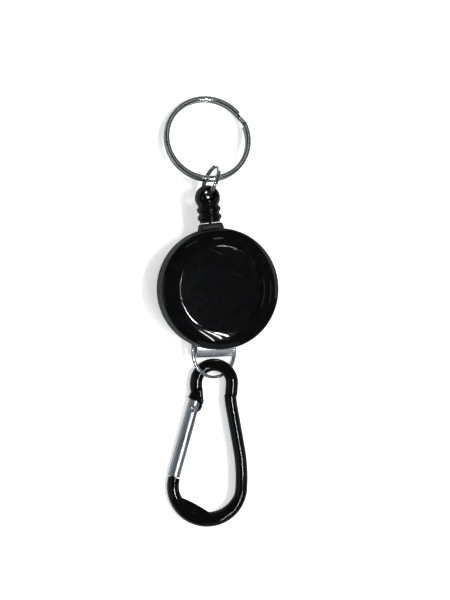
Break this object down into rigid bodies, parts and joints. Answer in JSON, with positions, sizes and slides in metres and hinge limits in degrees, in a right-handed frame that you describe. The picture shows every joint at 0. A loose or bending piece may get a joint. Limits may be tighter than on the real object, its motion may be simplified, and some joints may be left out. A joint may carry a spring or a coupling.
{
  "type": "retractable badge reel",
  "caption": "Round spring-wound cord reel with a ribbed bead, link and key ring, and a belt clip joined by a thin ring to a carabiner with a sprung gate.",
  "frame": {"origin": "on the spool's axis, on the outer face of the belt clip that the reel lies on", "axes": "+Y the way the cord is pulled, +Z out of the front cover, +X to the right seen from the front"},
  "size_m": [0.0337, 0.1139, 0.0146],
  "materials": {
    "gloss_black": "glossy moulded plastic",
    "matt_black": "satin moulded plastic",
    "white_plastic": "plain moulded plastic",
    "cord": "braided nylon",
    "nickel": "nickel plated",
    "spring_steel": "spring steel",
    "black_enamel": "gloss black coat",
    "aluminium": "brushed aluminium"
  },
  "bodies": {
    "reel": {"front_cover": "gloss_black", "rear_cover": "gloss_black", "cord_guide": "matt_black", "cord_run": "cord", "spiral_spring": "spring_steel"},
    "spool": {"spool": "white_plastic", "cord_winding": "cord", "cord_anchor": "cord"},
    "clip": {"belt_clip": "nickel", "clip_rivet": "nickel"},
    "tail_ring": {"tail_ring": "nickel"},
    "carabiner": {"carabiner_body": "black_enamel", "gate_rivet": "aluminium"},
    "gate": {"gate": "aluminium", "gate_spring": "spring_steel"},
    "plunger": {"gate_plunger": "aluminium"},
    "cord_end": {"cord_bead": "gloss_black", "pull_cord": "cord", "cord_knot": "cord"},
    "link": {"link": "nickel"},
    "key_ring": {"key_ring": "nickel"}
  },
  "joints": [
    {"name": "cord_pull", "type": "slide", "parent": "reel", "child": "cord_end", "axis": [0, 1, 0], "range_m": [0, 0.6], "stiffness_N_per_m": 0.6, "springref_m": -1.2},
    {"name": "spool_spin", "type": "hinge", "parent": "reel", "child": "spool", "pos_m": [0, 0, 0.0099], "axis": [0, 0, 1], "range_deg": [0, 3440], "deforming": ["spiral_spring"]},
    {"name": "link_swing", "type": "hinge", "parent": "cord_end", "child": "link", "pos_m": [0, 0.0249, 0.0099], "axis": [0.2176, 0.1377, 0.9663], "range_deg": [-20, 45]},
    {"name": "key_ring_swing", "type": "hinge", "parent": "link", "child": "key_ring", "pos_m": [0.00184, 0.02906, 0.00701], "axis": [0.9919, -0.123, 0.033], "range_deg": [0, 100]},
    {"name": "clip_swivel", "type": "hinge", "parent": "reel", "child": "clip", "pos_m": [0, 0, 0.0059], "axis": [0, 0, 1], "range_deg": [-120, 120]},
    {"name": "tail_ring_turn", "type": "hinge", "parent": "clip", "child": "tail_ring", "pos_m": [-0.00122, -0.01676, 0.00327], "axis": [0.3243, -0.0284, 0.9455], "range_deg": [-15, 5]},
    {"name": "carabiner_swing", "type": "hinge", "parent": "tail_ring", "child": "carabiner", "pos_m": [-0.00207, -0.02481, 0.00331], "axis": [-0.1792, 0.0332, 0.9833], "range_deg": [-10, 30]},
    {"name": "gate_open", "type": "hinge", "parent": "carabiner", "child": "gate", "pos_m": [-0.00848, -0.031, 0.00235], "axis": [-0.1792, 0.0332, 0.9833], "range_deg": [0, 35], "stiffness_Nm_per_rad": 0.02, "springref_deg": -20.05},
    {"name": "plunger_slide", "type": "slide", "parent": "gate", "child": "plunger", "axis": [-0.3751, -0.9262, -0.0371], "range_m": [0, 0.00065], "deforming": ["gate_spring"]}
  ],
  "couplings": [
    {"joint": "spool_spin", "follows": "cord_pull", "rad_per_m": 100},
    {"joint": "plunger_slide", "follows": "gate_open", "m_per_rad": 0.001}
  ]
}
